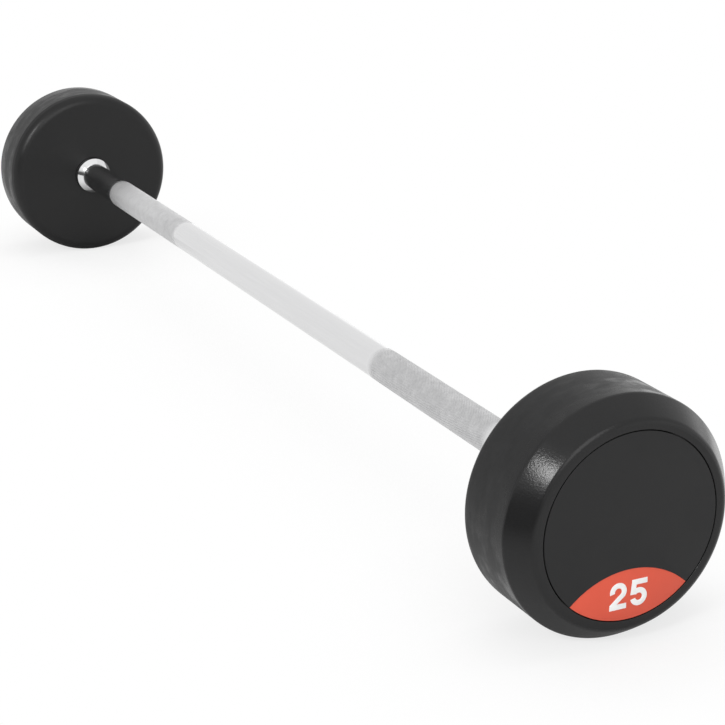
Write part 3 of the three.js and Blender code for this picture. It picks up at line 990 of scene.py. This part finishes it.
def floor():
    """A pale floor under the heads. It glows white for the camera, but keeps the shadow near
    the barbell. In reflections its glow is painted: it dims towards the dark side, has painted
    shadows where the barbell is near and round the left head, and painted light at +Y."""
    bpy.ops.mesh.primitive_plane_add(size=FLOOR_SIZE, location=(0, 0, -HEAD_RADIUS))
    made = bpy.context.object
    made.name = "floor"
    material, tree, shader = new_material("floor", specular=0.0)
    shader.inputs["Base Color"].default_value = (*FLOOR_TONE, 1)
    shader.inputs["Roughness"].default_value = FLOOR_ROUGHNESS
    coords = object_coords(tree)
    x, y, _ = split(tree, coords)
    openness = node(tree, "ShaderNodeAmbientOcclusion", samples=OPENNESS_SAMPLES)
    openness.inputs["Distance"].default_value = OPENNESS_REACH
    camera, mirror = seen_rays(tree)
    glow_share = ramp(tree, openness.outputs["AO"], GLOW_OPENNESS, GLOW_SHARE)
    camera_share = math_node(tree, "MULTIPLY", camera, glow_share)
    # Painted shadow in reflections, darkest where the floor is least open round the barbell.
    painted_contact_shadow = ramp(tree, openness.outputs["AO"], CONTACT_OPENNESS, CONTACT_SHADE)
    # Painted shade in reflections towards the dark side.
    aside = ramp(tree, y, FLOOR_SIDE_Y, TO_WHITE)
    behind = ramp(tree, x, FLOOR_BEHIND_X, TO_DARK)
    # Painted shadow in reflections, round the left head's foot.
    foot = node(tree, "ShaderNodeVectorMath", operation="DISTANCE")
    tree.links.new(coords, foot.inputs[0])
    foot.inputs[1].default_value = LEFT_FOOT
    foot_painted_shadow = ramp(tree, foot.outputs["Value"], FOOT_REACH, FOOT_SHADE)
    room = math_node(tree, "MULTIPLY", math_node(tree, "MAXIMUM", aside, behind), foot_painted_shadow)
    # Painted light: in reflections the floor is brighter at +Y, near the barbell.
    bright_side = ramp(tree, y, FLOOR_BRIGHT_Y, BRIGHT_SIDE_GAIN)
    near = ramp(tree, y, FLOOR_FAR_Y, (1, 0))
    lit = gained(tree, room, bright_side, near)
    reflected = math_node(tree, "MULTIPLY", mirror, math_node(tree, "MULTIPLY", lit, painted_contact_shadow))
    glow = node(tree, "ShaderNodeEmission")
    glow.inputs["Color"].default_value = (*WHITE, 1)
    tree.links.new(math_node(tree, "ADD", camera, reflected), glow.inputs["Strength"])
    mix = node(tree, "ShaderNodeMixShader")
    tree.links.new(math_node(tree, "ADD", camera_share, mirror), mix.inputs[0])
    tree.links.new(shader.outputs[0], mix.inputs[1])
    tree.links.new(glow.outputs[0], mix.inputs[2])
    tree.links.new(mix.outputs[0], tree.nodes["Material Output"].inputs["Surface"])
    made.data.materials.append(material)


def softbox(name, place, target, size, power):
    """A square lamp that faces the target, unseen by the camera."""
    light = bpy.data.lights.new(name, "AREA")
    light.shape = "SQUARE"
    light.size = size
    light.energy = power
    made = bpy.data.objects.new(name, light)
    made.location = place
    made.rotation_euler = (target - place).to_track_quat("-Z", "Y").to_euler()
    made.visible_camera = False
    bpy.context.scene.collection.objects.link(made)


def lights():
    """A key lamp and a broad front lamp on the right head, and a faint one over the bar."""
    middle = Vector((0, 0, 0))
    near_head = Vector((HEAD_CENTRE_X, 0, 0))
    key_place = near_head + KEY_DIRECTION.normalized() * LAMP_DISTANCE
    front_place = near_head + FRONT_DIRECTION.normalized() * LAMP_DISTANCE
    softbox("key", key_place, near_head, KEY_SIZE, KEY_POWER)
    softbox("front", front_place, near_head, FRONT_SIZE, FRONT_POWER)
    softbox("top", Vector((0, 0, TOP_HEIGHT)), middle, TOP_SIZE, TOP_POWER)


# Camera, from the outlines in the photograph
CAMERA_PLACE = Vector((1.58263, -0.69103, 0.53181))
CAMERA_FORWARD = Vector((-0.84803, 0.41704, -0.32699))
CAMERA_LENS_MM = 99.895
CAMERA_SENSOR_MM = 36.0
CAMERA_FAR_END = 100


def camera():
    """The camera, where the photograph was taken from."""
    data = bpy.data.cameras.new("camera")
    data.lens = CAMERA_LENS_MM
    data.sensor_width = CAMERA_SENSOR_MM
    data.sensor_fit = "HORIZONTAL"
    data.clip_end = CAMERA_FAR_END
    made = bpy.data.objects.new("camera", data)
    made.location = CAMERA_PLACE
    made.rotation_euler = CAMERA_FORWARD.to_track_quat("-Z", "Y").to_euler()
    bpy.context.scene.collection.objects.link(made)
    bpy.context.scene.camera = made


# Assembly


def place(piece, name, turn, node_name, slot_name):
    """Sets a finished piece at its side, on the part's one body, in place of its CAD node."""
    piece.name = name
    piece.data.name = name
    piece.data.transform(turn)
    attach(piece, "root")
    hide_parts(node_name)


whole_bar = bar(chrome_material(), knurl_material())
place(whole_bar, "bar_knurled", UNTURNED, "bar", "bar_chrome")

cover_finishes = (rubber_material(), inner_rubber_material(), rolled_rubber_material())
for side, turn in SIDES:
    cover = rubber_cover(cover_finishes, SCUFF_START[side])
    place(cover, f"{side}_{cover.name}", turn, f"{side}_rubber_cover", "black_rubber")

enamel = numeral_material()
head_pieces = [
    (collar, collar_material(), "collar", "collar_chrome"),
    (end_cap, cap_material(), "end_cap", "cap_black"),
    (badge, badge_material(), "badge", "badge_red"),
    (numeral_two, enamel, "numeral_two", "numeral_white"),
    (numeral_five, enamel, "numeral_five", "numeral_white"),
]
for side, turn in SIDES:
    for make, material, node_name, slot_name in head_pieces:
        piece = make(material)
        place(piece, f"{side}_{piece.name}", turn, f"{side}_{node_name}", slot_name)

iron = hidden_material("cast_iron", IRON_TONES, lump=1.5 * MM, roughness=0.65, metallic=0.8)
bond = hidden_material("adhesive", BOND_TONES, lump=4 * MM, roughness=0.6, metallic=0.0)
zinc = hidden_material("zinc_steel", ZINC_TONES, lump=3 * MM, roughness=0.34, metallic=1.0)
hidden_finishes = [
    ("iron_core", iron),
    ("cap_bond", bond),
    ("head_bolt", zinc),
    ("plate_washer", zinc),
    ("lock_washer", zinc),
    ("roll_pin", zinc),
]
for side, _ in SIDES:
    for node_name, material in hidden_finishes:
        data = frame["nodes"][f"{side}_{node_name}"].data
        data.materials.clear()
        data.materials.append(material)

world()
floor()
lights()
camera()
bpy.context.scene.view_settings.view_transform = "Standard"
